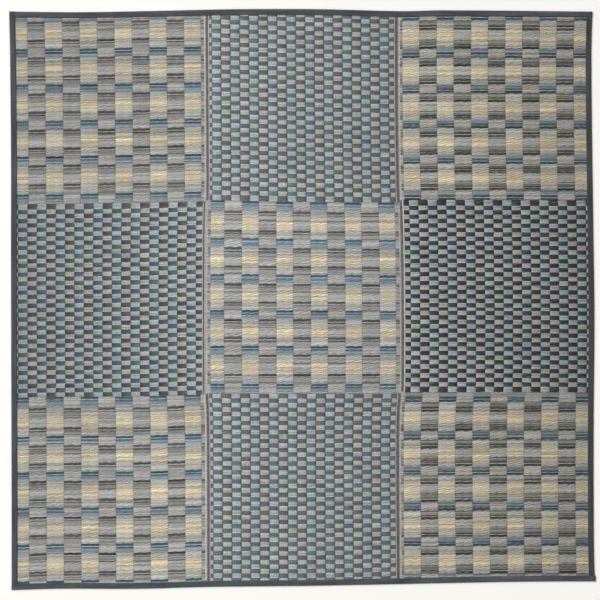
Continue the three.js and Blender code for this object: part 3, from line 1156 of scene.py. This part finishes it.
# %% A length of tape
def folded_tape(name, along_y, outward, start, stop):
    """The section carried from start to stop, as a grid of rings. The two ends are closed by
    quads between the outside and the inside. Its map holds the place along the tape and the way
    gone round the section, in metres."""
    section = tape_section()
    if (outward > 0) == along_y:
        section = section[::-1]
    n = len(section)
    along = np.linspace(start, stop, int(round((stop - start) / TAPE_STEP)) + 1)
    off = outward * ((X_END if along_y else Y_END) - section[:, 0])
    across_grid, along_grid = np.meshgrid(off, along)
    px, py = place(*((across_grid, along_grid) if along_y else (along_grid, across_grid)))
    points = np.stack([px, py, np.broadcast_to(section[:, 1], px.shape)], axis=-1)
    ids = np.arange(px.size).reshape(-1, n)
    ring = np.concatenate([ids, ids[:, :1]], axis=1)
    cells = np.stack([ring[:-1, :-1], ring[:-1, 1:], ring[1:, 1:], ring[1:, :-1]], -1).reshape(-1, 4)
    k = np.arange(n // 2 - 1)
    first = np.stack([k, n - 1 - k, n - 2 - k, k + 1], 1)
    last = np.stack([k, k + 1, n - 2 - k, n - 1 - k], 1)
    gone = np.concatenate([[0], np.cumsum(np.linalg.norm(np.diff(section, axis=0), axis=1))])
    gone = np.append(gone, gone[-1] + TAPE_THICK)
    u = np.stack([along[:-1], along[:-1], along[1:], along[1:]], -1)[:, None].repeat(n, axis=1)
    v = np.stack([gone[:-1], gone[1:], gone[1:], gone[:-1]], -1)[None].repeat(len(u), axis=0)
    maps = [np.stack([u, v], -1)]
    maps += [
        np.stack([np.full(end.shape, at), gone[end]], -1)
        for end, at in ((first, along[0]), (last, along[-1]))
    ]
    maps = {"cloth": np.concatenate([m.reshape(-1, 2) for m in maps])}
    polygons = [cells, first, last + ids[-1, 0]]
    return new_piece(name, points.reshape(-1, 3), polygons, len(cells), maps)


print("a step along the tape (mm):", TAPE_STEP / MM)

# %% [markdown]
# The tape is a dark slate twill. Its ribs are a wave that runs slantwise over the tape's own map;
# it raises a bump and paints shade in the grooves between the ribs. Slow noise stands for wear. The
# fold, which is rubbed most, is a little paler. Each length has its own tint, as each side of the
# rug has faded in its own way.

# %% Twill
RIBS_PER_METRE = 900
FOLD_AT = 27.5 * MM
TWILL_DARK, TWILL_PALE = dye(62, 69, 75), dye(80, 86, 90)


def tape_finish(name, tint):
    """Painted shade between the ribs, wear, cords and fibres are swings about one, and the fold adds a
    little.
    """
    tape = Finish(name, {"Roughness": 0.85, "Specular IOR Level": 0.2, "Sheen Weight": 0.25})
    along, across = tape.uv("cloth")
    twill = ((along + across) * RIBS_PER_METRE).math("FRACT")
    rib = 1 - (twill * 2 - 1) ** 2
    worn = tape.noise(along * 6, across * 40, 2.0, 3.0)
    cord = tape.noise(along * 110, across * 4, 9.0, 2.0, 0.6)
    fibre = tape.noise(along * 700, across * 500, 4.0, 2.0)
    fold = 1 - (across / FOLD_AT - 1).math("ABSOLUTE")
    tone_change = tape.smooth(fold, 0.55, 0.8) * 0.16
    # The rib term paints shade in the grooves between the twill's ribs.
    tone = 0.8 + rib * 0.2 + (worn - 0.5) * 0.5 + (fibre - 0.5) * 0.4 + (cord - 0.5) * 0.5 + tone_change
    colour = tape.ramp(worn, [(0.3, TWILL_DARK), (0.7, TWILL_PALE)])
    colour = tape.mix(1.0, colour, tint, "MULTIPLY")
    tape.dress({
        "Base Color": tape.scale_colour(colour, tone),
        "Normal": tape.bump(rib + fibre * 0.5, 0.15 * MM, 0.8),
    })
    return tape.material


print("twill ribs to the centimetre:", RIBS_PER_METRE / 100)

# %% The four tapes
BUTT = TAPE_WIDTH + FIT_GAP
TAPES = {
    "left": (True, -1, -Y_END + BUTT, Y_END),
    "right": (True, 1, -Y_END + BUTT, Y_END - BUTT),
    "top": (False, 1, -X_END + BUTT, X_END),
    "bottom": (False, -1, -X_END, X_END + CORNER_OVERHANG),
}
TAPE_TINTS = {
    "left": (0.91, 0.90, 0.90),
    "right": (0.71, 0.63, 0.60),
    "top": (0.98, 0.95, 0.92),
    "bottom": (1.0, 0.98, 0.97),
}
for side, run in TAPES.items():
    piece = folded_tape(f"tape_{side}", *run)
    hand_over(piece, tape_finish(f"twill_{side}", TAPE_TINTS[side]), "edge_tape", f"binding_{side}")
    run[3] - run[2]

# %% [markdown]
# ## Thread
#
# The strips are joined edge to edge with a pale thread that is whipped over the seam, a heavier
# one runs beside it, and a dark thread holds the tape down near its inner edge. A stitch is a short
# arch of thread whose ends sink into the cloth. It is a ring of points carried along that arch, and
# it has only a few faces because there are about three thousand stitches. All the stitches of one
# seam are one mesh, worked out in one go.


# %% Stitches as small arches
def thread_arches(name, starts, stops, rise, radius, sides, steps):
    """For every stitch at once: the centre line runs straight from its start to its stop, plus
    rise times the sine of half a turn upwards, and a ring of the thread's radius stands square to
    it at each step."""
    t = np.linspace(0, 1, steps + 1)
    run = (stops - starts)[:, None, :]
    path = starts[:, None, :] + run * t[None, :, None]
    path[..., 2] += rise * np.sin(np.pi * t)
    heading = run + np.stack([0 * t, 0 * t, rise * np.pi * np.cos(np.pi * t)], -1)[None]
    heading = heading / np.linalg.norm(heading, axis=-1, keepdims=True)
    side = np.cross(np.array([0.0, 0.0, 1.0]), heading)
    side = side / np.linalg.norm(side, axis=-1, keepdims=True)
    up = np.cross(heading, side)
    turn = 2 * np.pi * np.arange(sides) / sides
    ring = np.cos(turn)[:, None] * side[:, :, None] + np.sin(turn)[:, None] * up[:, :, None]
    points = path[:, :, None] + radius * ring
    count = len(starts)
    ids = np.arange(count * (steps + 1) * sides).reshape(count, steps + 1, sides)
    beside = np.roll(ids, -1, axis=2)
    cells = np.stack([ids[:, :-1], beside[:, :-1], beside[:, 1:], ids[:, 1:]], -1).reshape(-1, 4)
    ends = [ids[:, 0, ::-1], ids[:, -1]]
    u = np.broadcast_to(t[None, :, None], ids.shape).ravel()
    v = np.broadcast_to(turn / (2 * np.pi), ids.shape).ravel()
    around = np.stack([v[cells[:, 0]], v[cells[:, 0]] + 1 / sides], -1)
    twist = np.stack([u[cells], around[:, [0, 1, 1, 0]]], -1)
    flat_ends = [np.stack([u[e], 0 * u[e]], -1) for e in ends]
    maps = {"twist": np.concatenate([m.reshape(-1, 2) for m in (twist, *flat_ends)])}
    polygons = [cells, *ends]
    return new_piece(name, points.reshape(-1, 3), polygons, len(cells), maps)


def on_rug(x, y, z):
    """Points of the square rug moved to the uneven one, at a height."""
    px, py = place(x, y)
    return np.stack([px, py, np.full(px.shape, z)], -1)


def thread_finish(name, colour, shade):
    """Two plies twisted together: a slanting stripe of light and shade round the thread."""
    thread = Finish(name, {"Roughness": 0.6, "Specular IOR Level": 0.3, "Sheen Weight": 0.1})
    along, around = thread.uv("twist")
    ply = ((along * 5 + around * 2) * (2 * math.pi)).math("SINE") * 0.5 + 0.5
    bump = thread.bump(ply, 0.2 * MM, 0.7)
    thread.dress({"Base Color": thread.mix(ply, shade, colour), "Normal": bump})
    return thread.material


print("the middle of the rug in the frame (m):", on_rug(np.array([0.0]), np.array([0.0]), 0.0))

# %% Pale thread over the two seams, and a heavier one beside them
WHIP_PITCH = 7 * MM
WHIP_REACH = 3.4 * MM
WHIP_SLANT = 1.7 * MM
WHIP_LOW = 2.4 * MM
RUNNING_PITCH = 7.6 * MM
RUNNING_LENGTH = 6.8 * MM
RUNNING_INSET = 4.6 * MM
RUNNING_LOW = 3.3 * MM
SEAM_START = 8 * MM
pale_threads = {
    "left": thread_finish("pale_thread_left", dye(240, 236, 234), dye(200, 193, 191)),
    "right": thread_finish("pale_thread_right", dye(208, 203, 201), dye(162, 155, 153)),
}


def seam_stitches(pitch):
    """Where the stitches of a seam start along the rug."""
    return np.arange(-Y_END + TAPE_WIDTH + SEAM_START, Y_END - TAPE_WIDTH - pitch, pitch)


def to_large_side(seam, run):
    """Which side of the seam the large check is on: -1 for the left and 1 for the right."""
    row = sum((run < change * MM).astype(int) for change in CHANGE_LINES[1])
    return np.where((seam - 1 + row) % 2 == 0, -1.0, 1.0)


for seam, side in ((1, "left"), (2, "right")):
    line = -X_END + seam * STRIP_WIDTH
    run = seam_stitches(WHIP_PITCH)
    starts = on_rug(line - WHIP_REACH + 0 * run, run - WHIP_SLANT, WHIP_LOW)
    stops = on_rug(line + WHIP_REACH + 0 * run, run + WHIP_SLANT, WHIP_LOW)
    whipped = thread_arches(f"thread_{side}", starts, stops, 1.6 * MM, 0.5 * MM, 4, 4)
    run = seam_stitches(RUNNING_PITCH)
    x = line + to_large_side(seam, run) * RUNNING_INSET
    starts, stops = on_rug(x, run, RUNNING_LOW), on_rug(x, run + RUNNING_LENGTH, RUNNING_LOW)
    running = thread_arches(f"seam_{side}", starts, stops, 0.9 * MM, 1.0 * MM, 6, 4)
    for piece in (whipped, running):
        hand_over(piece, pale_threads[side], "rush_cloth")

# %% Dark thread along the tape
TAPE_PITCH = 6.2 * MM
TAPE_STITCH = 4.0 * MM
STITCH_INSET = 3.0 * MM
STITCH_LOW = EDGE_HEIGHT - 0.28 * MM
dark_thread = thread_finish("dark_thread", dye(96, 102, 106), dye(46, 51, 55))
for side, (along_y, outward, start, stop) in TAPES.items():
    run = np.arange(start + STITCH_INSET, stop - STITCH_INSET - TAPE_STITCH, TAPE_PITCH)
    line = outward * ((X_END if along_y else Y_END) - TAPE_WIDTH + STITCH_INSET) + 0 * run
    starts, stops = (
        on_rug(*((line, at) if along_y else (at, line)), STITCH_LOW)
        for at in (run, run + TAPE_STITCH)
    )
    piece = thread_arches(f"stitches_{side}", starts, stops, 0.42 * MM, 0.3 * MM, 4, 3)
    hand_over(piece, dark_thread, "edge_tape")
